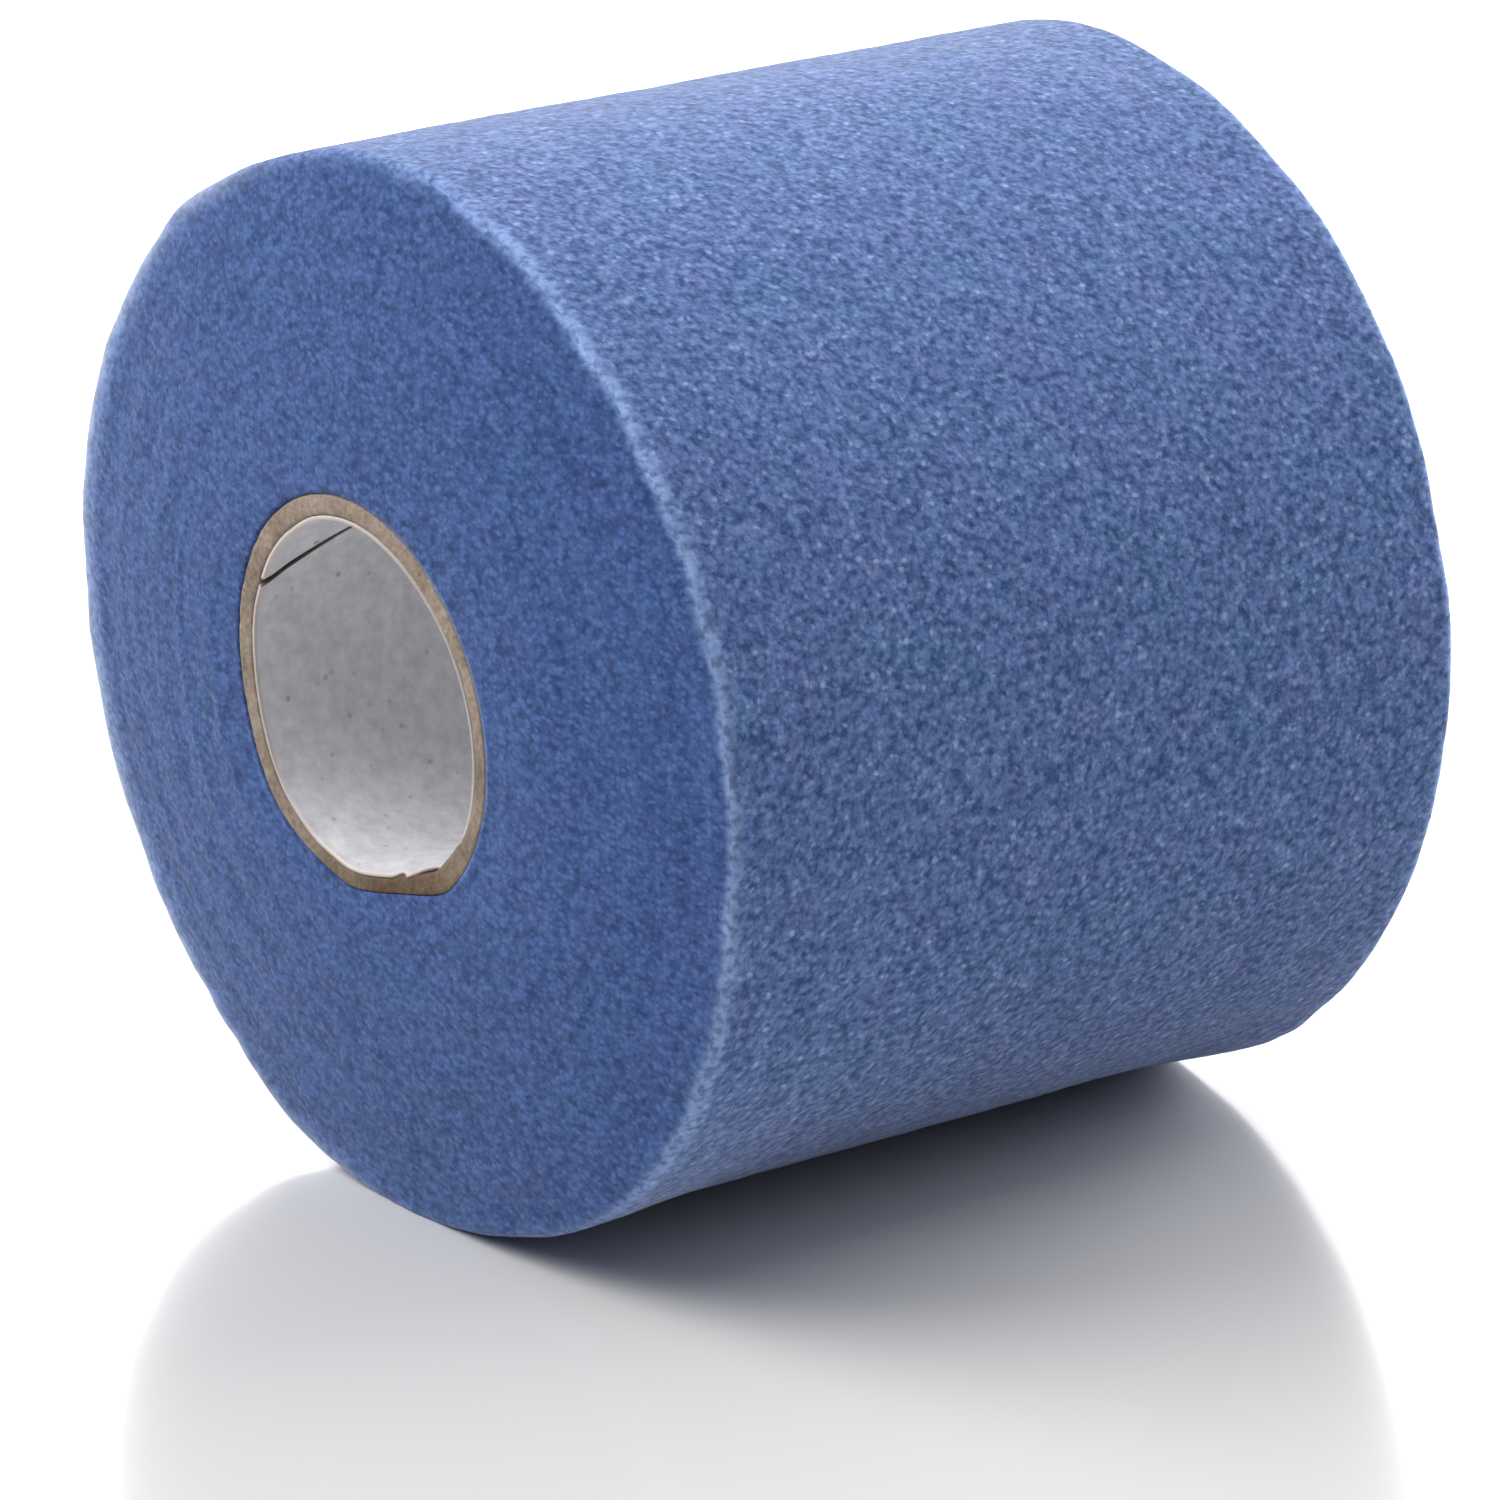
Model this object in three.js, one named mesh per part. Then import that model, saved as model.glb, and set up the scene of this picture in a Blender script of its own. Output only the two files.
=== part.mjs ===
// Foam underwrap roll: a long web of thin blue foam wound on a paperboard core, lying on its side.
// Millimetres, +Z up. The roll's axis lies along Y, the end whose turns stand out faces -Y,
// and the roll rests on the plane z = 0, with the middle of its box over the origin.

import * as THREE from "three";
import { mergeVertices } from "three/addons/utils/BufferGeometryUtils.js";

// Driving dimensions
const WEB_WIDTH = 70; // length of the foam web, the core and the core's lining along the axis
const ROLL_RADIUS = 42.2; // mean outside radius of the wound foam
const CORE_RADIUS = 15.8; // mean outside radius of the core
const CORE_WALL = 1.5; // kraft paperboard
const LINING_WALL = 0.4; // white paper glued inside the core
const PIECE_GAP = 0.3; // left between touching pieces
const TELESCOPE = 3.0; // how far the innermost turns and the core have slid out towards -Y
const EDGE_ROUND = 1.4; // soft round of the foam's outer edges
const FLAT_HALF_WIDTH = 7; // half the width of the spot that the roll rests on

// The wound section isn't round. Each row adds size * cos(lobes * (angle - peak)) to the radius,
// with angles in degrees about the axis, from +X towards +Z.
const ROLL_LOBES = [
  { lobes: 2, size: 0.92, peak: 151 },
  { lobes: 3, size: 0.1, peak: 55 },
  { lobes: 4, size: 0.21, peak: 72 },
  { lobes: 5, size: 0.07, peak: 28 },
  { lobes: 6, size: 0.18, peak: 23 },
];
const CORE_LOBES = [
  { lobes: 1, size: 0.26, peak: 64 },
  { lobes: 2, size: 0.82, peak: 145 },
];

// The core's front end is dented flat low down: a chord this far from the axis, fading with depth.
const DENT = { angle: 283, chord: 14.5, depth: 24 };

// The lining's front edge is worn back at the dent: how far it stops short of the core's end.
const WORN_EDGE = [
  { angle: 252, back: 0 },
  { angle: 266, back: 0.5 },
  { angle: 286, back: 0.8 },
  { angle: 302, back: 2 },
  { angle: 322, back: 1.6 },
  { angle: 332, back: 0 },
];

// Steps of the faceted surfaces
const SIDES = 96;
const FACE_RINGS = 6;
const SIDE_RINGS = 4;
const EDGE_STEPS = 3;
const CORE_STATIONS = [0, 5, 11, 24, WEB_WIDTH]; // distances from the core's front end

const degrees = (radians) => THREE.MathUtils.euclideanModulo(radians * THREE.MathUtils.RAD2DEG, 360);

// What a table of lobes adds to the radius at an angle.
function lobesAt(lobes, angle) {
  return lobes.reduce(
    (sum, row) => sum + row.size * Math.cos(row.lobes * (angle - row.peak) * THREE.MathUtils.DEG2RAD),
    0,
  );
}

// The core's outside radius at an angle, at a distance from its front end.
function coreRadiusAt(angle, distance) {
  const oval = CORE_RADIUS + lobesAt(CORE_LOBES, angle);
  const facing = Math.cos((angle - DENT.angle) * THREE.MathUtils.DEG2RAD);
  const dented = facing > 0.5 ? Math.min(oval, DENT.chord / facing) : oval;
  return THREE.MathUtils.lerp(dented, oval, THREE.MathUtils.smoothstep(distance, 0, DENT.depth));
}

// How far the lining stops short of the core's front end at an angle.
function wornBackAt(angle) {
  const next = WORN_EDGE.findIndex((row) => row.angle > angle);
  if (next < 1) return 0;
  const [from, to] = [WORN_EDGE[next - 1], WORN_EDGE[next]];
  return THREE.MathUtils.mapLinear(angle, from.angle, to.angle, from.back, to.back);
}

// A turn's place in the winding, from 0 at the core to 1 at the outside.
function windingAt(radius) {
  const share = (radius - CORE_RADIUS) / (ROLL_RADIUS - CORE_RADIUS);
  return THREE.MathUtils.clamp(share, 0, 1);
}

// How far a turn has slid out towards -Y: the end of the roll is a shallow dome.
function slideAt(radius) {
  return TELESCOPE * Math.cos((windingAt(radius) * Math.PI) / 2);
}

// Turns a closed profile of (radius, y) points about Y, then lets bend move each point.
// The profile runs out along the inner wall and back along the outer one.
// bend takes the angle in degrees, the radius and y, and returns the new radius and y.
function turned(profile, bend) {
  const lathe = new THREE.LatheGeometry([...profile, profile[0]].toReversed(), SIDES);
  lathe.deleteAttribute("normal");
  lathe.deleteAttribute("uv");
  const geometry = mergeVertices(lathe, 1e-3);
  const points = geometry.getAttribute("position");
  for (let i = 0; i < points.count; i++) {
    const [x, y, z] = [points.getX(i), points.getY(i), points.getZ(i)];
    const turn = Math.atan2(z, x);
    const bent = bend(degrees(turn), Math.hypot(x, z), y);
    points.setXYZ(i, bent.radius * Math.cos(turn), bent.y, bent.radius * Math.sin(turn));
  }
  return geometry;
}

// The wound foam: one solid with the core's bore, domed out in front and dished behind.
function foamRoll() {
  const bore = CORE_RADIUS + PIECE_GAP;
  const flank = ROLL_RADIUS - EDGE_ROUND;
  const profile = [];
  for (const station of CORE_STATIONS) profile.push(new THREE.Vector2(bore, station));
  for (let i = 1; i < FACE_RINGS; i++) {
    profile.push(new THREE.Vector2(THREE.MathUtils.lerp(bore, flank, i / FACE_RINGS), WEB_WIDTH));
  }
  for (let i = 0; i <= EDGE_STEPS; i++) {
    const lean = (i / EDGE_STEPS) * (Math.PI / 2);
    profile.push(
      new THREE.Vector2(flank + EDGE_ROUND * Math.sin(lean), WEB_WIDTH - EDGE_ROUND * (1 - Math.cos(lean))),
    );
  }
  for (let i = 1; i < SIDE_RINGS; i++) {
    const y = THREE.MathUtils.lerp(WEB_WIDTH - EDGE_ROUND, EDGE_ROUND, i / SIDE_RINGS);
    profile.push(new THREE.Vector2(ROLL_RADIUS, y));
  }
  for (let i = EDGE_STEPS; i >= 0; i--) {
    const lean = (i / EDGE_STEPS) * (Math.PI / 2);
    profile.push(new THREE.Vector2(flank + EDGE_ROUND * Math.sin(lean), EDGE_ROUND * (1 - Math.cos(lean))));
  }
  for (let i = FACE_RINGS - 1; i > 0; i--) {
    profile.push(new THREE.Vector2(THREE.MathUtils.lerp(bore, flank, i / FACE_RINGS), 0));
  }
  const geometry = turned(profile, (angle, radius, y) => {
    const winding = windingAt(radius);
    const core = coreRadiusAt(angle, y) - CORE_RADIUS;
    const uneven = THREE.MathUtils.lerp(core, lobesAt(ROLL_LOBES, angle), winding);
    return { radius: radius + uneven, y: y - slideAt(radius) };
  });
  restOnFlat(geometry);
  return geometry;
}

// Squashes the lowest strip of the foam to one plane of the stated width.
function restOnFlat(geometry) {
  geometry.computeBoundingBox();
  const squash = ROLL_RADIUS - Math.sqrt(ROLL_RADIUS ** 2 - FLAT_HALF_WIDTH ** 2);
  const floor = geometry.boundingBox.min.z + squash;
  const points = geometry.getAttribute("position");
  for (let i = 0; i < points.count; i++) points.setZ(i, Math.max(points.getZ(i), floor));
  geometry.computeBoundingBox();
}

// A tube of the core's shape: its wall lies between two insets from the core's outside.
function tube(outerInset, innerInset, frontBackAt) {
  const outer = CORE_RADIUS - outerInset;
  const inner = CORE_RADIUS - innerInset;
  const profile = [
    ...CORE_STATIONS.map((station) => new THREE.Vector2(inner, station)),
    ...CORE_STATIONS.toReversed().map((station) => new THREE.Vector2(outer, station)),
  ];
  return turned(profile, (angle, radius, y) => {
    const back = frontBackAt(angle) * (1 - y / WEB_WIDTH);
    return { radius: radius - CORE_RADIUS + coreRadiusAt(angle, y), y: y + back - TELESCOPE };
  });
}

function coreTube() {
  return tube(0, CORE_WALL, () => 0);
}

function coreLiner() {
  const outerInset = CORE_WALL + PIECE_GAP;
  return tube(outerInset, outerInset + LINING_WALL, wornBackAt);
}

const FOAM = new THREE.MeshStandardMaterial({ color: "#5b71a4", roughness: 0.95, metalness: 0 });
const KRAFT = new THREE.MeshStandardMaterial({ color: "#8f7d6c", roughness: 0.85, metalness: 0 });
const WHITE_PAPER = new THREE.MeshStandardMaterial({ color: "#c8c8cf", roughness: 0.7, metalness: 0 });

function piece(name, geometry, material) {
  const mesh = new THREE.Mesh(geometry, material);
  mesh.name = name;
  return mesh;
}

const roll = new THREE.Group();
roll.add(
  piece("foam_roll", foamRoll(), FOAM),
  piece("core_tube", coreTube(), KRAFT),
  piece("core_liner", coreLiner(), WHITE_PAPER),
);

// The axis stands over the origin, at the height that puts the flat spot on z = 0.
const box = new THREE.Box3().setFromObject(roll);
const middle = box.getCenter(new THREE.Vector3());
roll.position.set(-middle.x, -middle.y, -box.min.z);

const part = new THREE.Group();
part.add(roll);

export default part;
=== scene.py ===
# Foam underwrap roll: a thin web of blue foam wound on a paperboard core that is lined with paper.
# The script's own sizes are millimetres, and the meshes are metres in the frame of the CAD model.
import math

import bmesh
import bpy
from mathutils import Matrix, Vector, noise


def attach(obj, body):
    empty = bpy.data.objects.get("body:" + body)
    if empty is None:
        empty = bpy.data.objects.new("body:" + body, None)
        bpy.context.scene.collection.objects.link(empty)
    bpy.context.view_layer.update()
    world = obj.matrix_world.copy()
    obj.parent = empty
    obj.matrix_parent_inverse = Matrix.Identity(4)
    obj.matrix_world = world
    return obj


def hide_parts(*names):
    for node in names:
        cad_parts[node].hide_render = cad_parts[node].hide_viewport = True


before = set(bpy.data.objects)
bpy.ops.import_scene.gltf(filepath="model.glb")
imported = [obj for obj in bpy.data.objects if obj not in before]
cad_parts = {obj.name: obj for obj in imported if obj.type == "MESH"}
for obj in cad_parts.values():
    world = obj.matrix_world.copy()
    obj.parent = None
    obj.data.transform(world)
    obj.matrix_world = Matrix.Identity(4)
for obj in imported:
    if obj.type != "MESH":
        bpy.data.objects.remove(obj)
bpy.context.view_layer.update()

MM = 0.001

# Sizes that the meshes share with the CAD model
WEB_WIDTH = 70.0
ROLL_RADIUS = 42.2
CORE_RADIUS = 15.8
TELESCOPE = 3.0  # how far the innermost turns and the core have slid out at the front
AXIS_X = 0.165
AXIS_Z = 41.307
FRONT_Y = -33.375  # plane of the front edge of the outermost turn

# Angles are degrees about the roll's axis, from +X towards +Z, and a depth is measured from the
# front end. Each row of lobes adds size * cos(lobes * (angle - peak)) to the radius.
ROLL_LOBES = [(2, 0.92, 151), (3, 0.1, 55), (4, 0.21, 72), (5, 0.07, 28), (6, 0.18, 23)]
CORE_LOBES = [(1, 0.26, 64), (2, 0.82, 145)]

# The core's front end is dented flat low down, and beside the dent the board is pushed out
DENT_ANGLE = 283
DENT_CHORD = 14.65  # distance of the flat from the axis
DENT_DEPTH = 24.0
DENT_CORNER = 0.9  # how softly the dent meets the oval
BULGE_ANGLE = 224
BULGE = 0.95
BULGE_WIDTH = 24

# Each table from here to BACK_EDGE has rows of (angle, value).
# The core's wall at its front cut, which is uneven. It evens out from CUT_START to CUT_END.
KRAFT_WALL = 1.6
KRAFT_CUT = [
    (0, 1.35), (30, 1.4), (60, 1.6), (90, 1.6), (112, 1.65), (127, 1.85), (154, 1.85), (175, 1.75),
    (200, 1.55), (214, 1.5), (229, 1.4), (245, 1.1), (255, 1.15), (266, 1.2), (287, 1.15),
    (291, 1.35), (295, 1.2), (302, 1.6), (310, 1.85), (318, 2.0), (325, 1.9), (333, 1.4),
    (360, 1.35),
]
CUT_START = 0.3
CUT_END = 2.5

# How far the lining's front edge, torn back low down, stops short of the core's end
TORN_EDGE = [
    (0, 0.05), (150, 0.05), (200, 0.1), (252, 0.1), (266, 0.1), (286, 0.1), (291, 0.5), (295, 0.2),
    (297, 0.5), (301, 1.8), (309, 1.9), (319, 1.7), (325, 1.2), (330, 0.2), (360, 0.05),
]
# How little the lining's cut edge is greyed round the core: at 1 not at all
UNGREYED_CUT = [
    (0, 0.1), (60, 0.15), (85, 0.4), (112, 0.8), (150, 0.85), (165, 0.45), (205, 0.4), (235, 0.75),
    (260, 1.0), (315, 1.0), (335, 0.5), (360, 0.1),
]

# The edges of the outermost turns are loose and a little pale, and the light that comes through them is
# painted in as more paleness. How pale they are, and how far the paleness reaches in over the end and
# onto the side
PALE_EDGE = [
    (0, 1.0), (45, 0.95), (65, 0.75), (80, 0.5), (96, 0.2), (114, 0.1), (130, 0.35), (150, 0.45),
    (215, 0.45), (250, 0.35), (285, 0.05), (305, 0.3), (325, 0.75), (345, 1.0), (360, 1.0),
]
PALE_END = [
    (0, 0.4), (45, 0.45), (80, 0.6), (125, 1.2), (150, 2.4), (215, 2.6), (250, 1.6), (285, 0.8),
    (310, 0.35), (360, 0.4),
]
PALE_SIDE = [
    (0, 0.6), (45, 0.7), (70, 0.9), (100, 0.7), (280, 0.7), (305, 1.5), (325, 1.2), (345, 0.7),
    (360, 0.6),
]
# How far the edge has frayed to single struts, drawn nearly white, which also paints in the glow of
# light coming through the edge there
FRAYED_AND_GLOWING_EDGE = [
    (0, 0.0), (104, 0.0), (128, 0.22), (152, 0.4), (220, 0.42), (245, 0.25), (270, 0.0), (360, 0.0),
]
# What the loose turns add to the roll's radius at each end, fading over a reach along the side
FRONT_EDGE = [
    (0, 0.0), (98, 0.0), (106, -0.15), (120, -0.05), (131, 0.4), (137, 0.05), (145, -0.25),
    (158, -0.1), (168, 0.05), (182, -0.25), (205, -0.2), (222, 0.0), (236, -0.15), (250, 0.25),
    (264, -0.25), (276, 0.0), (288, 0.2), (300, 0.6), (310, 0.6), (330, 0.25), (345, 0.0),
    (360, 0.0),
]
BACK_EDGE = [
    (0, 0.3), (6, 0.25), (14, -0.1), (26, 0.0), (36, 0.1), (42, 0.0), (49, 0.25), (60, -0.15),
    (70, 0.0), (79, -0.35), (90, 0.0), (97, 0.15), (110, 0.0), (270, 0.0), (284, 0.35), (300, 0.85),
    (306, 0.75), (313, 0.15), (324, -0.1), (338, -0.15), (350, 0.1), (360, 0.3),
]
EDGE_REACH = 14.0


def clamp(value):
    return max(0.0, min(1.0, value))


def lerp(a, b, share):
    return a + (b - a) * share


def smoothstep(value, low, high):
    share = clamp((value - low) / (high - low))
    return share * share * (3 - 2 * share)


def hump(value, middle, width):
    """A smooth bump of height 1 about the middle."""
    return math.exp(-(((value - middle) / width) ** 2))


def soft_min(a, b, softness):
    """The lower of two values, with the corner between them rounded."""
    share = clamp(0.5 + (b - a) / (2 * softness))
    return lerp(b, a, share) - softness * share * (1 - share)


def lobes_at(lobes, angle):
    return sum(size * math.cos(math.radians(count * (angle - peak))) for count, size, peak in lobes)


def read_table(rows, angle):
    """The value at an angle, eased between the rows (angle, value)."""
    for (low, a), (high, b) in zip(rows, rows[1:]):
        if angle <= high:
            return lerp(a, b, smoothstep(angle, low, high))
    return rows[-1][1]


def core_radius_at(angle, depth):
    """Outside radius of the core: oval, and dented at its front end."""
    oval = CORE_RADIUS + lobes_at(CORE_LOBES, angle)
    # The flat reaches only the part of the wall that faces its way
    facing = math.cos(math.radians(angle - DENT_ANGLE))
    dented = soft_min(oval, DENT_CHORD / facing, DENT_CORNER) if facing > 0.5 else oval
    dented += BULGE * hump(angle, BULGE_ANGLE, BULGE_WIDTH)
    return lerp(dented, oval, smoothstep(depth, 0, DENT_DEPTH))


def kraft_wall_at(angle, depth):
    return lerp(read_table(KRAFT_CUT, angle), KRAFT_WALL, smoothstep(depth, CUT_START, CUT_END))


def ripple(size, x, y, z):
    """Even noise between about -1 and 1, whose waves are size across."""
    return noise.noise(Vector((x / size, y / size, z / size)))


def ripples(rows, x, y, z):
    """Noise of several sizes on top of each other, from rows of (height, size)."""
    return sum(height * ripple(size, x, y, z) for height, size in rows)


def turn_of(point):
    """The angle in degrees, from 0 to 360, of a point of a mesh that still lies about the Y axis."""
    return math.degrees(math.atan2(point.z, point.x)) % 360


def about_axis(angle, radius, y):
    turn = math.radians(angle)
    return radius * math.cos(turn), y, radius * math.sin(turn)


def from_axis(angle, radius, y):
    """A point in the CAD frame, in metres, from its place about the roll's axis."""
    x, y, z = about_axis(angle, radius, y)
    return Vector((AXIS_X + x, FRONT_Y + y, AXIS_Z + z)) * MM


SECTORS = 12


def spun(profile, steps, sweep=360.0):
    """A bmesh that turns a chain of (radius, y) points about Y. A full turn also closes the chain.
    One sector is spun and the rest are its copies, which is quicker than one long spin."""
    bm = bmesh.new()
    points = [bm.verts.new((radius, y, 0)) for radius, y in profile]
    chain = [bm.edges.new(pair) for pair in zip(points, points[1:])]
    if sweep == 360.0:
        chain.append(bm.edges.new((points[-1], points[0])))
    about = {"cent": (0, 0, 0), "axis": (0, -1, 0)}
    sector = math.radians(sweep / SECTORS)
    bmesh.ops.spin(bm, geom=points + chain, angle=sector, steps=steps // SECTORS, **about)
    bmesh.ops.spin(
        bm, geom=[*bm.verts, *bm.edges, *bm.faces], angle=sector * (SECTORS - 1),
        steps=SECTORS - 1, use_duplicate=True, **about,
    )
    bmesh.ops.remove_doubles(bm, verts=bm.verts, dist=0.001)
    return bm


def shape(bm, bend):
    """Moves each vertex of a spun mesh. bend takes angle, radius and y, and returns the new three."""
    for vert in bm.verts:
        vert.co = from_axis(*bend(turn_of(vert.co), math.hypot(vert.co.x, vert.co.z), vert.co.y))


def finished(bm, name, material):
    bmesh.ops.recalc_face_normals(bm, faces=bm.faces)
    mesh = bpy.data.meshes.new(name)
    bm.to_mesh(mesh)
    bm.free()
    mesh.polygons.foreach_set("use_smooth", [True] * len(mesh.polygons))
    mesh.materials.append(material)
    piece = bpy.data.objects.new(name, mesh)
    bpy.context.scene.collection.objects.link(piece)
    return piece


# Materials. The sizes are millimetres on the real thing, unless a comment says otherwise.

CELL_SIZE = 0.42  # the real cells are finer, and are drawn this coarse so that they show
STRUT_SIZE = 0.68  # of the knots where several struts meet, and as coarse for the same reason
PULL_ON_END = (0.74, 1, 1.12)  # the cells are drawn out a little where the foam was pulled
PULL_ON_SIDE = (1, 0.84, 1)
STREAK_SPACING = 0.9  # between the streaks of uneven winding, across the turns
STREAK_LENGTH = 14
DYE_CLOUD = 6
FOAM_RELIEF = 0.15
FOAM_COLOURS = {
    "pore": "#294a80",
    "strut": "#7a94ce",
    "violet_cast": "#fff6ff",
    "teal_cast": "#f0ffff",
    # painted highlight of struts that catch the light
    "painted_glint": "#a3b8e4",
    "cut_through": "#51699e",
    # darkens the ends, partly as painted shade
    "end_darkening_and_painted_shade": "#b5c9dc",
    # partly the edge's own pale blue, partly painted glow of light coming through it
    "loose_edge_and_painted_glow": "#a8c6ff",
    # near-white of frayed struts, partly painted glow of light coming through the edge
    "frayed_strut_and_glow": "#e6edff",
    "bloom": "#eef3ff",
}

FIBRE_SIZE = 0.5
KRAFT_PATCH = 3.5
KRAFT_RELIEF = 0.15
KRAFT_COLOURS = {"dark_fibre": "#7a6b60", "pale_fibre": "#b7a798", "worn": "#ada08c"}

SCUFF_SIZE = 1.3
PULP_SPACING = 1.1
PAPER_RELIEF = 0.06
PAPER_COLOURS = {
    "clean": "#e8e8eb", "darkened": "#cbcbd1", "pulp": "#9a9795", "cut": "#e0d5d0", "edge_darkening": "#6e675f",
}


def linear(code):
    """An sRGB hex colour as linear red, green, blue and alpha."""
    parts = [int(code[i : i + 2], 16) / 255 for i in (1, 3, 5)]
    return [c / 12.92 if c <= 0.04045 else ((c + 0.055) / 1.055) ** 2.4 for c in parts] + [1.0]


def per_metre(size):
    """A texture's scale for a feature of this size in millimetres."""
    return 1 / (size * MM)


def add(tree, kind, settings=None, links=None):
    """Adds a node. A setting goes to the input of that name or number, or else to the property."""
    made = tree.nodes.new("ShaderNode" + kind)
    for name, value in (settings or {}).items():
        if isinstance(name, int) or name in made.inputs:
            made.inputs[name].default_value = value
        else:
            setattr(made, name, value)
    for name, output in (links or {}).items():
        tree.links.new(output, made.inputs[name])
    return made


def new_material(name):
    material = bpy.data.materials.new(name)
    material.use_nodes = True
    return material, material.node_tree, material.node_tree.nodes["Principled BSDF"]


def foam_material():
    """Open-cell polyurethane foam, dyed blue and split from a block: pale struts round dark pores, a
    few struts painted bright as glints, and a soft bloom where the surface is seen along. The glints,
    the glow through the loose edge and part of the ends' shade are painted into its colour."""
    material, tree, shader = new_material("split_open_cell_foam")
    hue = {name: linear(code) for name, code in FOAM_COLOURS.items()}
    place = add(tree, "TexCoord").outputs["Object"]
    centred = add(
        tree, "Mapping", {"Location": (-AXIS_X * MM, 0, -AXIS_Z * MM)}, {"Vector": place}
    ).outputs[0]
    end = add(tree, "Attribute", {"attribute_name": "end"}).outputs["Fac"]
    rim = add(tree, "Attribute", {"attribute_name": "rim"}).outputs["Fac"]
    frayed = add(tree, "Attribute", {"attribute_name": "frayed"}).outputs["Fac"]

    # The pull differs on the ends and the side, and changes at the edge itself
    on_end = add(tree, "Math", {"operation": "GREATER_THAN", 1: 0.5}, {0: end}).outputs[0]
    along_end = add(
        tree, "VectorMath", {"operation": "MULTIPLY", 1: PULL_ON_END}, {0: centred}
    ).outputs[0]
    along_side = add(
        tree, "VectorMath", {"operation": "MULTIPLY", 1: PULL_ON_SIDE}, {0: centred}
    ).outputs[0]
    drawn = add(
        tree, "MixRGB", {}, {"Fac": on_end, "Color1": along_side, "Color2": along_end}
    ).outputs[0]

    # Struts and pores: each cell has its own brightness and is darker towards its walls
    struts = add(
        tree, "TexNoise", {"Scale": per_metre(STRUT_SIZE), "Detail": 2.0, "Roughness": 0.5},
        {"Vector": drawn},
    ).outputs["Fac"]
    struts = add(tree, "MapRange", {"From Min": 0.34, "From Max": 0.66}, {"Value": struts}).outputs[0]
    cells = add(
        tree, "TexVoronoi", {"Scale": per_metre(CELL_SIZE), "feature": "F1"}, {"Vector": drawn}
    )
    in_cell = add(
        tree, "MapRange", {"From Min": 0.15, "From Max": 0.8, "To Min": 1.6, "To Max": 0.35},
        {"Value": cells.outputs["Distance"]},
    ).outputs[0]
    own = add(tree, "SeparateColor", {}, {"Color": cells.outputs["Color"]})
    bright = add(tree, "Math", {"operation": "MULTIPLY"}, {0: own.outputs["Red"], 1: in_cell})
    cell_share = add(tree, "MapRange", {"To Min": 0.4, "To Max": 0.55}, {"Value": on_end}).outputs[0]
    grain = add(
        tree, "MixRGB", {}, {"Fac": cell_share, "Color1": struts, "Color2": bright.outputs[0]}
    ).outputs[0]

    # Uneven winding: streaks round the axis on both ends
    across = add(
        tree, "VectorMath", {"operation": "MULTIPLY", 1: (1, 0, 1)}, {0: centred}
    ).outputs[0]
    radius = add(tree, "VectorMath", {"operation": "LENGTH"}, {0: across}).outputs["Value"]
    streak_place = add(
        tree, "VectorMath", {"operation": "SCALE", "Scale": per_metre(STREAK_LENGTH)}, {0: across}
    ).outputs[0]
    turn_number = add(
        tree, "Math", {"operation": "MULTIPLY", 1: per_metre(STREAK_SPACING)}, {0: radius}
    ).outputs[0]
    turn_offset = add(tree, "CombineXYZ", {}, {"Y": turn_number}).outputs[0]
    streak_place = add(
        tree, "VectorMath", {"operation": "ADD"}, {0: streak_place, 1: turn_offset}
    ).outputs[0]
    streaks = add(
        tree, "TexNoise", {"Scale": 1.0, "Detail": 3.0, "Roughness": 0.6}, {"Vector": streak_place}
    ).outputs["Fac"]
    streaks = add(tree, "Math", {"operation": "SUBTRACT", 1: 0.5}, {0: streaks}).outputs[0]
    streaks = add(tree, "Math", {"operation": "MULTIPLY"}, {0: streaks, 1: end}).outputs[0]
    lift = add(
        tree, "Math", {"operation": "MULTIPLY_ADD", 1: 0.6}, {0: streaks, 2: grain}
    ).outputs[0]
    colour = add(
        tree, "MixRGB", {"Color1": hue["pore"], "Color2": hue["strut"]}, {"Fac": lift}
    ).outputs[0]

    # Dye: wide faint clouds, some towards violet and some towards teal
    clouds = add(
        tree, "TexNoise", {"Scale": per_metre(DYE_CLOUD), "Detail": 2.0}, {"Vector": centred}
    ).outputs["Fac"]
    clouds = add(tree, "MapRange", {"From Min": 0.3, "From Max": 0.7}, {"Value": clouds}).outputs[0]
    tint = add(
        tree, "MixRGB", {"Color1": hue["violet_cast"], "Color2": hue["teal_cast"]}, {"Fac": clouds}
    ).outputs[0]
    colour = add(
        tree, "MixRGB", {"blend_type": "MULTIPLY", "Fac": 1.0}, {"Color1": colour, "Color2": tint}
    ).outputs[0]

    # Painted glints: single struts drawn bright as if they lay flat and caught the light, most of them
    # on the side
    chosen = add(
        tree, "MapRange", {"From Min": 0.82, "From Max": 1.0}, {"Value": own.outputs["Green"]}
    ).outputs[0]
    chosen = add(tree, "Math", {"operation": "MULTIPLY"}, {0: chosen, 1: in_cell}).outputs[0]
    chosen = add(tree, "Math", {"operation": "MULTIPLY"}, {0: chosen, 1: struts}).outputs[0]
    on_side = add(tree, "MapRange", {"To Min": 0.62, "To Max": 0.1}, {"Value": end}).outputs[0]
    painted_glint = add(tree, "Math", {"operation": "MULTIPLY"}, {0: chosen, 1: on_side}).outputs[0]
    colour = add(
        tree, "MixRGB", {"Color2": hue["painted_glint"]}, {"Fac": painted_glint, "Color1": colour}
    ).outputs[0]

    # The ends are cut through the pores, so they are evener and darker than the split surface, and part
    # of their darkening is painted shade of the end faces
    even_share = add(tree, "Math", {"operation": "MULTIPLY", 1: 0.12}, {0: end}).outputs[0]
    colour = add(
        tree, "MixRGB", {"Color2": hue["cut_through"]}, {"Fac": even_share, "Color1": colour}
    ).outputs[0]
    colour = add(
        tree, "MixRGB", {"blend_type": "MULTIPLY", "Color2": hue["end_darkening_and_painted_shade"]},
        {"Fac": end, "Color1": colour},
    ).outputs[0]
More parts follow.
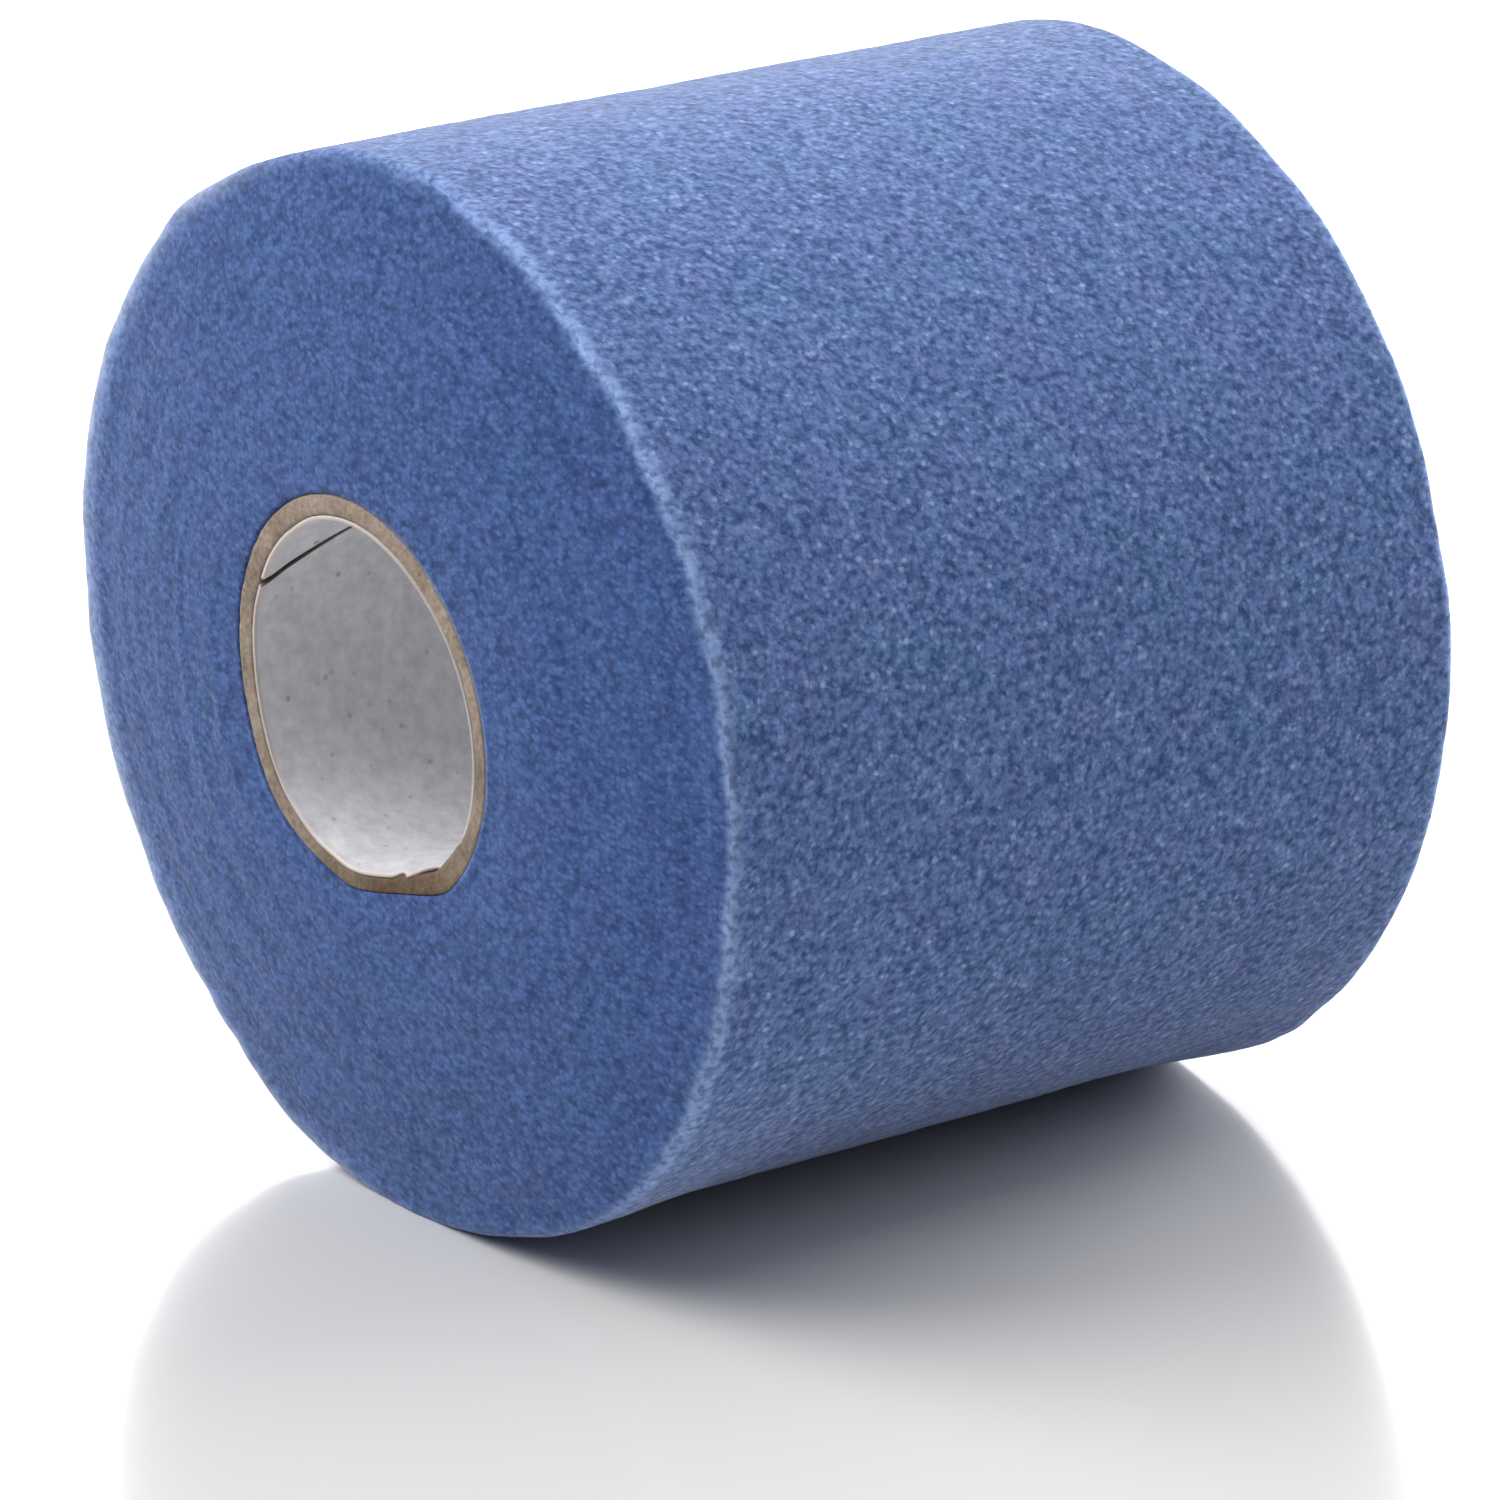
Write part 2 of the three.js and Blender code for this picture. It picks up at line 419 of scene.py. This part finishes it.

    # The outermost edge is thin and loose, and the light that comes through it is painted in as a pale
    # blue; on one side it has frayed, and there the glow is painted in as near-white struts
    loose = add(
        tree, "MapRange", {"From Min": 0.1, "From Max": 0.8, "To Min": 0.4, "To Max": 1.0},
        {"Value": struts},
    ).outputs[0]
    rim_share = add(tree, "Math", {"operation": "MULTIPLY"}, {0: rim, 1: loose}).outputs[0]
    colour = add(
        tree, "MixRGB", {"Color2": hue["loose_edge_and_painted_glow"]}, {"Fac": rim_share, "Color1": colour}
    ).outputs[0]
    colour = add(
        tree, "MixRGB", {"Color2": hue["frayed_strut_and_glow"]}, {"Fac": frayed, "Color1": colour}
    ).outputs[0]

    bump = add(
        tree, "Bump", {"Strength": 0.4, "Distance": FOAM_RELIEF * MM}, {"Height": struts}
    ).outputs[0]
    tree.links.new(colour, shader.inputs["Base Color"])
    tree.links.new(bump, shader.inputs["Normal"])
    shader.inputs["Roughness"].default_value = 0.85
    shader.inputs["Specular IOR Level"].default_value = 0.2
    shader.inputs["Sheen Weight"].default_value = 0.3
    shader.inputs["Sheen Roughness"].default_value = 0.45
    shader.inputs["Sheen Tint"].default_value = hue["bloom"]
    return material


def kraft_material():
    """Kraft paperboard: plies of brown recycled fibre, cut with a blade, so fibres fuzz the edge
    and the brown is mottled and dull."""
    material, tree, shader = new_material("kraft_paperboard")
    hue = {name: linear(code) for name, code in KRAFT_COLOURS.items()}
    place = add(tree, "TexCoord").outputs["Object"]
    fibres = add(
        tree, "TexNoise", {"Scale": per_metre(FIBRE_SIZE), "Detail": 4.0, "Roughness": 0.65},
        {"Vector": place},
    ).outputs["Fac"]
    fibres = add(tree, "MapRange", {"From Min": 0.3, "From Max": 0.7}, {"Value": fibres}).outputs[0]
    patches = add(
        tree, "TexNoise", {"Scale": per_metre(KRAFT_PATCH), "Detail": 2.0}, {"Vector": place}
    ).outputs["Fac"]
    patches = add(tree, "MapRange", {"From Min": 0.35, "From Max": 0.65}, {"Value": patches}).outputs[0]
    mixed = add(tree, "MixRGB", {"Fac": 0.4}, {"Color1": fibres, "Color2": patches}).outputs[0]
    colour = add(
        tree, "MixRGB", {"Color1": hue["dark_fibre"], "Color2": hue["pale_fibre"]}, {"Fac": mixed}
    ).outputs[0]
    # The board is drawn darker and browner low down, round the dented part
    darkened = add(tree, "Attribute", {"attribute_name": "darkened"}).outputs["Fac"]
    colour = add(
        tree, "MixRGB", {"blend_type": "MULTIPLY", "Color2": hue["worn"]},
        {"Fac": darkened, "Color1": colour},
    ).outputs[0]
    bump = add(
        tree, "Bump", {"Strength": 0.6, "Distance": KRAFT_RELIEF * MM}, {"Height": fibres}
    ).outputs[0]
    tree.links.new(colour, shader.inputs["Base Color"])
    tree.links.new(bump, shader.inputs["Normal"])
    shader.inputs["Roughness"].default_value = 0.9
    shader.inputs["Specular IOR Level"].default_value = 0.2
    return material


def paper_material():
    """White lining paper: machine-calendered, a slight sheen, with faint grey scuffs and specks."""
    material, tree, shader = new_material("white_lining_paper")
    hue = {name: linear(code) for name, code in PAPER_COLOURS.items()}
    place = add(tree, "TexCoord").outputs["Object"]
    scuffs = add(
        tree, "TexNoise", {"Scale": per_metre(SCUFF_SIZE), "Detail": 4.0, "Roughness": 0.65},
        {"Vector": place},
    ).outputs["Fac"]
    scuffs = add(tree, "MapRange", {"From Min": 0.3, "From Max": 0.7}, {"Value": scuffs}).outputs[0]
    colour = add(
        tree, "MixRGB", {"Color1": hue["clean"], "Color2": hue["darkened"]}, {"Fac": scuffs}
    ).outputs[0]
    # Specks of grey pulp, one to every few square millimetres
    pulp = add(
        tree, "TexVoronoi", {"Scale": per_metre(PULP_SPACING), "feature": "F1"}, {"Vector": place}
    )
    speck = add(
        tree, "MapRange", {"From Min": 0.08, "From Max": 0.3, "To Min": 1.0, "To Max": 0.0},
        {"Value": pulp.outputs["Distance"]},
    ).outputs[0]
    picked = add(tree, "SeparateColor", {}, {"Color": pulp.outputs["Color"]}).outputs["Red"]
    picked = add(tree, "MapRange", {"From Min": 0.7, "From Max": 1.0}, {"Value": picked}).outputs[0]
    speck = add(tree, "Math", {"operation": "MULTIPLY"}, {0: speck, 1: picked}).outputs[0]
    colour = add(
        tree, "MixRGB", {"Color2": hue["pulp"]}, {"Fac": speck, "Color1": colour}
    ).outputs[0]
    cut = add(tree, "Attribute", {"attribute_name": "cut"}).outputs["Fac"]
    colour = add(
        tree, "MixRGB", {"Color2": hue["cut"]}, {"Fac": cut, "Color1": colour}
    ).outputs[0]
    # The edges of the gap are darkened, partly glue and dust and partly painted shade of the gap, and
    # the cut edge is greyed in places round the core
    darkened_edges = add(tree, "Attribute", {"attribute_name": "darkened_edges"}).outputs["Fac"]
    colour = add(
        tree, "MixRGB", {"Color2": hue["edge_darkening"]}, {"Fac": darkened_edges, "Color1": colour}
    ).outputs[0]
    bump = add(
        tree, "Bump", {"Strength": 0.3, "Distance": PAPER_RELIEF * MM}, {"Height": scuffs}
    ).outputs[0]
    tree.links.new(colour, shader.inputs["Base Color"])
    tree.links.new(bump, shader.inputs["Normal"])
    shader.inputs["Roughness"].default_value = 0.42
    shader.inputs["Specular IOR Level"].default_value = 0.6
    return material


def table_material():
    """Pale acrylic sheet of a photographer's table, polished enough for a soft reflection."""
    material, _, shader = new_material("pale_acrylic_table")
    shader.inputs["Base Color"].default_value = linear("#e7e5e1")
    shader.inputs["Roughness"].default_value = 0.2
    shader.inputs["Specular IOR Level"].default_value = 0.5
    shader.inputs["Coat Weight"].default_value = 0.5
    shader.inputs["Coat Roughness"].default_value = 0.1
    return material


# The wound foam

EDGE_ROUND = 0.8  # of the foam's outer edges, a little tighter than the solid's
FLANK = ROLL_RADIUS - EDGE_ROUND
FOAM_BORE = CORE_RADIUS + 0.04  # close on the core
SEATED = 1.2  # the turns this near the core lie still

FOAM_SIDES = 384
FACE_RINGS = 64
BACK_RINGS = 40
SIDE_RINGS = 94
BAND_RINGS = 5
BAND = 2.0  # finer rings on the side, next to each edge
BORE_RINGS = 12
EDGE_STEPS = 7

# Unevenness of the foam, in rows of (height, size across)
SPLIT_SURFACE = [(0.05, 1.3), (0.05, 2.9)]
LONG_SWELL = [(0.1, 16)]  # from uneven tension, and longer along the axis
LONG_SWELL_PULL = 0.4
SHORT_SWELL = [(0.05, 7)]
LOOSE_WAVER = [(0.16, 9), (0.12, 3.4)]
WAVER_REACH = 2.5
PALE_LINE = [(0.3, 4.5)]  # where the pale edge is palest
PALE_BREAKS = [(0.35, 2.2)]
FRAYED_BREAKS = [(0.5, 1.6)]
# Turns that stand a little in front of or behind their neighbours: how far, how many millimetres
# of winding stand together, how fast they change round the axis, and where the noise is read
STANDING_TURNS = [(0.06, 1.1, 0.04, 0), (0.14, 3.1, 0.08, 40)]

# Places across an outer edge, from less than 0 on the end face to more than 0 on the side
RELIEF_BLEND = (-1.1, 1.1)  # between these, the end's relief gives way to the side's
COLOUR_BLEND = (-0.7, 0.5)  # and between these, its colour does
FRAYED_MIDDLE = -0.15
FRAYED_REACH = 0.9

# Loose end of the web, pressed flat on the hidden side
TAIL_ANGLE = 207.0
TAIL_STEP = 0.4
TAIL_FADE = 55.0


def evenly(start, end, count):
    """The points between two (radius, y) points, without the last."""
    return [
        (lerp(start[0], end[0], i / count), lerp(start[1], end[1], i / count)) for i in range(count)
    ]


def edge_arc(y, inward, steps, rising):
    """The soft round of an outer edge. inward points from the end plane into the web."""
    leans = [i / steps * math.pi / 2 for i in range(steps)]
    leans = leans if rising else [math.pi / 2 - lean for lean in leans]
    return [
        (FLANK + EDGE_ROUND * math.sin(lean), y + inward * EDGE_ROUND * (1 - math.cos(lean)))
        for lean in leans
    ]


def foam_profile():
    return [
        *evenly((FOAM_BORE, 0), (FOAM_BORE, WEB_WIDTH), BORE_RINGS),
        *evenly((FOAM_BORE, WEB_WIDTH), (FLANK, WEB_WIDTH), BACK_RINGS),
        *edge_arc(WEB_WIDTH, -1, EDGE_STEPS, True),
        *evenly((ROLL_RADIUS, WEB_WIDTH - EDGE_ROUND), (ROLL_RADIUS, WEB_WIDTH - BAND), BAND_RINGS),
        *evenly((ROLL_RADIUS, WEB_WIDTH - BAND), (ROLL_RADIUS, BAND), SIDE_RINGS),
        *evenly((ROLL_RADIUS, BAND), (ROLL_RADIUS, EDGE_ROUND), BAND_RINGS),
        *edge_arc(0, 1, EDGE_STEPS, False),
        *evenly((FLANK, 0), (FOAM_BORE, 0), FACE_RINGS),
    ]


def past_edge(radius, y):
    """Distance along the surface from the middle of the nearer outer edge: less than 0 on the
    end face, more than 0 on the side."""
    along = min(y, WEB_WIDTH - y)
    half_arc = EDGE_ROUND * math.pi / 4
    if radius < FLANK:
        return radius - FLANK - half_arc
    if along > EDGE_ROUND:
        return along - EDGE_ROUND + half_arc
    return EDGE_ROUND * (math.atan2(radius - FLANK, EDGE_ROUND - along) - math.pi / 4)


def tail_lift(angle):
    """Height of the web's loose end above the turn below it."""
    before = (TAIL_ANGLE - angle) % 360
    return TAIL_STEP * (1 - smoothstep(before, 0, TAIL_FADE))


def loose_edges_at(angle, y):
    """What the loose turns at the two ends add to the roll's radius."""
    front = read_table(FRONT_EDGE, angle) * (1 - smoothstep(y, 0, EDGE_REACH))
    return front + read_table(BACK_EDGE, angle) * (1 - smoothstep(WEB_WIDTH - y, 0, EDGE_REACH))


def paleness_at(angle, edge, at):
    """How pale the foam is at a distance past the outer edge, along a line that wanders, with the glow
    of light through the edge painted in as paleness.
    """
    line = ripples(PALE_LINE, *at)
    reach = read_table(PALE_END if edge < line else PALE_SIDE, angle)
    broken = 1 + ripples(PALE_BREAKS, *at)
    return read_table(PALE_EDGE, angle) * broken * hump(edge, line, reach)


def fraying_and_glow_at(angle, edge, at):
    """How far the foam has frayed at a distance past the outer edge, with the glow through the edge
    painted in too.
    """
    broken = 1 + ripples(FRAYED_BREAKS, *at)
    return clamp(read_table(FRAYED_AND_GLOWING_EDGE, angle) * broken * hump(edge, FRAYED_MIDDLE, FRAYED_REACH))


def foam_bend(angle, radius, y):
    winding = clamp((radius - CORE_RADIUS) / (ROLL_RADIUS - CORE_RADIUS))
    core = core_radius_at(angle, y) - CORE_RADIUS
    new_radius = radius + lerp(core, lobes_at(ROLL_LOBES, angle), winding)
    new_radius += winding**2 * loose_edges_at(angle, y)
    new_y = y - TELESCOPE * math.cos(winding * math.pi / 2)
    at = about_axis(angle, radius, y)
    free = smoothstep(radius, FOAM_BORE, FOAM_BORE + SEATED)
    edge = past_edge(radius, y)
    side = smoothstep(edge, *RELIEF_BLEND)
    outward = -1 if y < WEB_WIDTH / 2 else 1

    rough = ripples(SPLIT_SURFACE, *at)
    swell = ripples(LONG_SWELL, at[0], y * LONG_SWELL_PULL, at[2]) + ripples(SHORT_SWELL, *at)
    turns = sum(
        height * ripple(size, radius, at[0] * drift + level, at[2] * drift)
        for height, size, drift, level in STANDING_TURNS
    )
    waver = ripples(LOOSE_WAVER, *at) * hump(edge, 0, WAVER_REACH)

    new_radius += side * (rough + swell + tail_lift(angle))
    new_y += outward * free * (1 - side) * (rough + turns) + outward * waver
    return angle, new_radius, new_y


def wound_foam():
    bm = spun(foam_profile(), FOAM_SIDES)
    end = bm.verts.layers.float.new("end")
    rim = bm.verts.layers.float.new("rim")
    frayed = bm.verts.layers.float.new("frayed")
    for vert in bm.verts:
        edge = past_edge(math.hypot(vert.co.x, vert.co.z), vert.co.y)
        angle = turn_of(vert.co)
        vert[end] = 1 - smoothstep(edge, *COLOUR_BLEND)
        vert[rim] = paleness_at(angle, edge, vert.co)
        vert[frayed] = fraying_and_glow_at(angle, edge, vert.co)
    shape(bm, foam_bend)
    # The lowest strip is pressed flat on the table
    for vert in bm.verts:
        vert.co.z = max(vert.co.z, 0)
    return finished(bm, "wound_foam", foam_material())


# The paperboard core

CORE_SIDES = 288
CORE_RINGS = 36
CUT_RINGS = 6
CORE_ROUND = 0.12  # of the arrises that the cutter left
RAGGED_CUT = [(0.07, 0.8), (0.06, 2.4)]  # rows of (height, size across)
RAGGED_DEPTH = 0.6
RAGGED_INWARD = 0.4  # share of the raggedness that also moves the inner arris
# Where the board is drawn darker and browner, and how widely
DARKER_ANGLE = 288
DARKER_WIDTH = 38


def core_profile():
    """Section of the board's wall, with its arrises a little broken."""
    inner = CORE_RADIUS - KRAFT_WALL
    return [
        *evenly((inner, CORE_ROUND), (inner, WEB_WIDTH - CORE_ROUND), CORE_RINGS),
        *evenly((inner, WEB_WIDTH - CORE_ROUND), (inner + CORE_ROUND, WEB_WIDTH), 1),
        *evenly((inner + CORE_ROUND, WEB_WIDTH), (CORE_RADIUS - CORE_ROUND, WEB_WIDTH), CUT_RINGS),
        *evenly((CORE_RADIUS - CORE_ROUND, WEB_WIDTH), (CORE_RADIUS, WEB_WIDTH - CORE_ROUND), 1),
        *evenly((CORE_RADIUS, WEB_WIDTH - CORE_ROUND), (CORE_RADIUS, CORE_ROUND), CORE_RINGS),
        *evenly((CORE_RADIUS, CORE_ROUND), (CORE_RADIUS - CORE_ROUND, 0), 1),
        *evenly((CORE_RADIUS - CORE_ROUND, 0), (inner + CORE_ROUND, 0), CUT_RINGS),
        (inner + CORE_ROUND, 0),
    ]


def core_bend(angle, radius, y):
    share = (CORE_RADIUS - radius) / KRAFT_WALL
    new_radius = core_radius_at(angle, y) - share * kraft_wall_at(angle, y)
    ragged = ripples(RAGGED_CUT, *about_axis(angle, radius, y))
    ragged *= 1 - smoothstep(y, 0, RAGGED_DEPTH)
    return angle, new_radius + RAGGED_INWARD * ragged * share, y - TELESCOPE + ragged


def paperboard_core():
    bm = spun(core_profile(), CORE_SIDES)
    # The board is drawn darker and browner low down, round the dent
    darkened = bm.verts.layers.float.new("darkened")
    for vert in bm.verts:
        vert[darkened] = hump(turn_of(vert.co), DARKER_ANGLE, DARKER_WIDTH)
    shape(bm, core_bend)
    return finished(bm, "paperboard_core", kraft_material())


# The white paper glued inside the core: one strip wound in a helix, with a gap between its edges

LINING_WALL = 0.32
SEAM_ANGLE = 153.2  # of the gap at the core's front end
SEAM_SLOPE = 1.62  # degrees that the gap turns in each millimetre of depth, at the front end
SEAM_CURVE = 0.17  # how fast the slope grows, as far as SEAM_STRAIGHT, behind which it is even
SEAM_STRAIGHT = 6.2
SEAM_GAP = 0.44  # square to its edges
SEAM_LEAN = 46  # of those edges from the axis
SEAM_EDGE = 0.15  # width of the dark edge, as a share of a column of faces
SEAM_LIFT = 0.08  # how far the paper stands off the board beside the gap
SEAM_LIFT_REACH = 9  # degrees from the gap
GLUE = 0.06  # between the board and the paper
PAPER_SWELL = [(0.05, 5)]  # rows of (height, size across)
PAPER_SWELL_START = 4  # depth at which the swell is whole
PROUD = 0.02  # how far the paper's cut edge stands in front of the board's
CUT_WIDTH = 0.35
CUT_GREYING = 0.55  # how far the cut edge is greyed where it is greyest

LIP_DEPTHS = [0.0, 0.3, 0.7, 1.2]
LINING_START = 1.8
LINING_RINGS = 70
RING_SPREAD = 1.15  # over 1, so that the rings are closer together towards the front
TEAR_FADE = 6
# Jags of the torn edge: depth, size along the edge, and where the noise is read
JAGS = [(0.5, 1.3, 5), (0.25, 0.6, 9)]


def seam_angle_at(depth):
    bent = min(depth, SEAM_STRAIGHT)
    slope = SEAM_SLOPE + 2 * SEAM_CURVE * SEAM_STRAIGHT
    return SEAM_ANGLE - SEAM_SLOPE * bent - SEAM_CURVE * bent**2 - slope * (depth - bent)


def torn_back_at(angle, x, z):
    """How far the lining's front edge stops short of the core's end."""
    back = read_table(TORN_EDGE, angle)
    jagged = sum(depth * abs(ripple(size, x, level, z)) for depth, size, level in JAGS)
    return back + jagged * smoothstep(back, 0.2, 0.8)


def lining_depths():
    """Depths of the lining's rings, from the front edge to the back one."""
    rest = WEB_WIDTH - LINING_START
    rings = [LINING_START + rest * (i / LINING_RINGS) ** RING_SPREAD for i in range(LINING_RINGS + 1)]
    return LIP_DEPTHS + rings


def paper_lining():
    """One sheet with a helical gap: it is spun short of a full turn and sheared along the helix."""
    gap = math.degrees(SEAM_GAP / (CORE_RADIUS - KRAFT_WALL)) / math.cos(math.radians(SEAM_LEAN))
    sweep = 360 - gap
    column = sweep / CORE_SIDES
    bm = spun([(CORE_RADIUS, depth) for depth in lining_depths()], CORE_SIDES, sweep)
    cut = bm.verts.layers.float.new("cut")
    darkened_edges = bm.verts.layers.float.new("darkened_edges")
    for vert in bm.verts:
        depth = vert.co.y
        spin_angle = turn_of(vert.co)
        if spin_angle > sweep + column / 2:
            spin_angle = 0.0
        from_seam = min(spin_angle, sweep - spin_angle)
        # The gap's edges are drawn dark: partly glue and dust, partly painted shade of the gap
        vert[darkened_edges] = 1.0 if from_seam < column / 2 else 0.0
        # The columns next to the gap close up to it, so that its dark edge is narrow
        if column / 2 < from_seam < column * 1.5:
            spin_angle += (SEAM_EDGE * column - from_seam) * (1 if spin_angle < 180 else -1)
        angle = (seam_angle_at(depth) + gap / 2 + spin_angle) % 360
        x, _, z = about_axis(angle, CORE_RADIUS, depth)
        y = depth + torn_back_at(angle, x, z) * (1 - smoothstep(depth, 0, TEAR_FADE))
        swell = ripples(PAPER_SWELL, x, depth, z) * smoothstep(depth, 0, PAPER_SWELL_START)
        lifted = SEAM_LIFT * (1 - smoothstep(from_seam, 0, SEAM_LIFT_REACH)) + GLUE - swell
        radius = core_radius_at(angle, y) - kraft_wall_at(angle, y) - lifted
        vert.co = from_axis(angle, radius, y - TELESCOPE - PROUD)
        vert[cut] = 1 - smoothstep(depth, 0.0, CUT_WIDTH)
        # The cut edge is greyed in places round the core
        greyed = CUT_GREYING * vert[cut] * (1 - read_table(UNGREYED_CUT, angle))
        vert[darkened_edges] = max(vert[darkened_edges], greyed)
    piece = finished(bm, "paper_lining", paper_material())
    wall = piece.modifiers.new("wall", "SOLIDIFY")
    wall.thickness = LINING_WALL * MM
    wall.offset = 1.0
    wall.use_even_offset = True
    return piece


foam = wound_foam()
core = paperboard_core()
lining = paper_lining()
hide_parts("foam_roll")
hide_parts("core_tube")
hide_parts("core_liner")
for piece in (foam, core, lining):
    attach(piece, "root")


# The table, the light and the camera, in metres

TABLE_HALF = 3.0
TABLE_DROP = 0.02 * MM  # below the roll, so that the two faces don't meet in one plane
ROLL_MIDDLE = Vector((0, 0, 0.04))

CAMERA_AZIMUTH = 52.289
CAMERA_ELEVATION = 18.141
CAMERA_PLACE = (0.49734, -0.38338, 0.23604)
CAMERA_LENS = 201.6  # millimetres, as the sensor's width is
SENSOR = 36.0


def table_top():
    bm = bmesh.new()
    bmesh.ops.create_grid(bm, x_segments=1, y_segments=1, size=TABLE_HALF)
    bmesh.ops.translate(bm, verts=bm.verts, vec=(0, 0, -TABLE_DROP))
    return finished(bm, "table_top", table_material())


def soft_box(name, place, width, height, power):
    """An area light that faces the roll, with its power in watts."""
    light = bpy.data.lights.new(name, "AREA")
    light.shape = "RECTANGLE"
    light.size = width
    light.size_y = height
    light.energy = power
    lamp = bpy.data.objects.new(name, light)
    lamp.location = place
    lamp.rotation_mode = "QUATERNION"
    lamp.rotation_quaternion = (ROLL_MIDDLE - Vector(place)).to_track_quat("-Z", "Y")
    bpy.context.scene.collection.objects.link(lamp)
    return lamp


def dim_surroundings():
    world = bpy.data.worlds.new("studio")
    bpy.context.scene.world = world
    world.use_nodes = True
    background = world.node_tree.nodes["Background"]
    background.inputs["Color"].default_value = linear("#ffffff")
    background.inputs["Strength"].default_value = 0.02


def studio_camera():
    turn = math.radians(CAMERA_AZIMUTH)
    rise = math.radians(CAMERA_ELEVATION)
    back = Vector((math.sin(turn) * math.cos(rise), -math.cos(turn) * math.cos(rise), math.sin(rise)))
    right = Vector((math.cos(turn), math.sin(turn), 0))
    lens = bpy.data.cameras.new("camera")
    lens.lens = CAMERA_LENS
    lens.sensor_width = SENSOR
    lens.clip_start = 0.01
    lens.clip_end = 20
    camera = bpy.data.objects.new("camera", lens)
    axes = Matrix((right, back.cross(right), back)).transposed()
    camera.matrix_world = Matrix.Translation(CAMERA_PLACE) @ axes.to_4x4()
    bpy.context.scene.collection.objects.link(camera)
    bpy.context.scene.camera = camera


table_top()
soft_box("key_behind_right", (0.14, 1.12, 0.4), 1.2, 0.7, 17.0)
soft_box("above_left", (-0.45, -0.53, 0.65), 0.9, 0.7, 8.8)
soft_box("overhead", (0, 0, 0.95), 1.2, 1.2, 6.0)
# White card, far behind, that shows only as a reflection in the table
card = soft_box("white_card", (-1.1, 0.85, 0.5), 2.6, 0.95, 26.0)
card.visible_diffuse = False
dim_surroundings()
studio_camera()
bpy.context.scene.view_settings.view_transform = "Standard"
